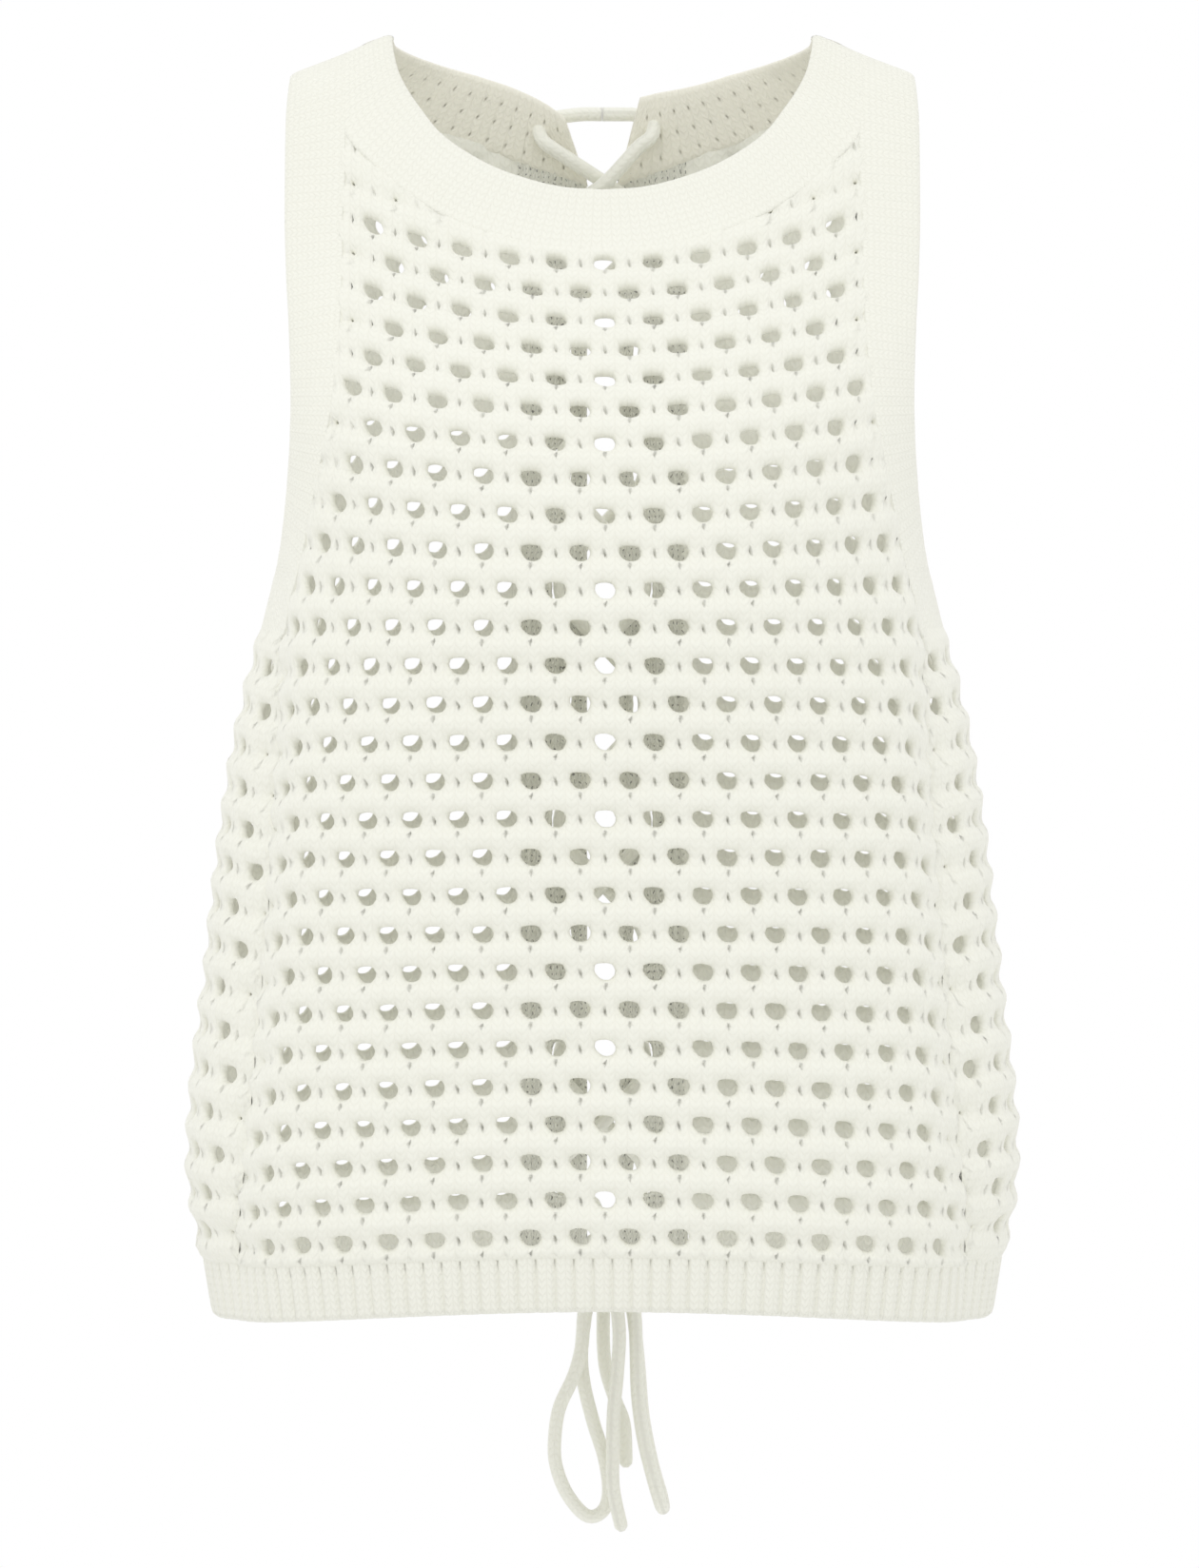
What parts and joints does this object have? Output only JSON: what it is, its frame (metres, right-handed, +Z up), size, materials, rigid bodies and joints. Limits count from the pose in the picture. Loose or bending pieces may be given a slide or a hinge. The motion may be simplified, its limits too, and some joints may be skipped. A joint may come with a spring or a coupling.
{
  "type": "sleeveless knit top",
  "caption": "Sleeveless openwork knit top with a round neck, ribbed bands and hem, and a laced open back, filled out as worn.",
  "frame": {"origin": "middle between the two high shoulder points, at their height, where the wearer's shoulders hold it", "axes": "+Z up, the front faces -Y, the wearer's left side is +X"},
  "size_m": [0.3478, 0.2539, 0.6443],
  "materials": {
    "openwork_knit": "matte chunky cotton knit",
    "rib_knit": "matte cotton rib",
    "band_knit": "matte dense cotton knit",
    "lace_cord": "matte round knitted cord"
  },
  "bodies": {
    "root": {"front_panel": "openwork_knit", "back_panel_left": "openwork_knit", "back_panel_right": "openwork_knit", "hem_rib_front": "rib_knit", "hem_rib_back_left": "rib_knit", "hem_rib_back_right": "rib_knit", "neckband_front": "band_knit", "neckband_back_left": "band_knit", "neckband_back_right": "band_knit", "armhole_band_left": "band_knit", "armhole_band_right": "band_knit", "placket_left": "band_knit", "placket_right": "band_knit", "lace_strand_left": "lace_cord", "lace_strand_right": "lace_cord", "lace_knot": "lace_cord", "lace_loop_left": "lace_cord", "lace_loop_right": "lace_cord", "lace_tail_left": "lace_cord", "lace_tail_right": "lace_cord"}
  },
  "joints": []
}
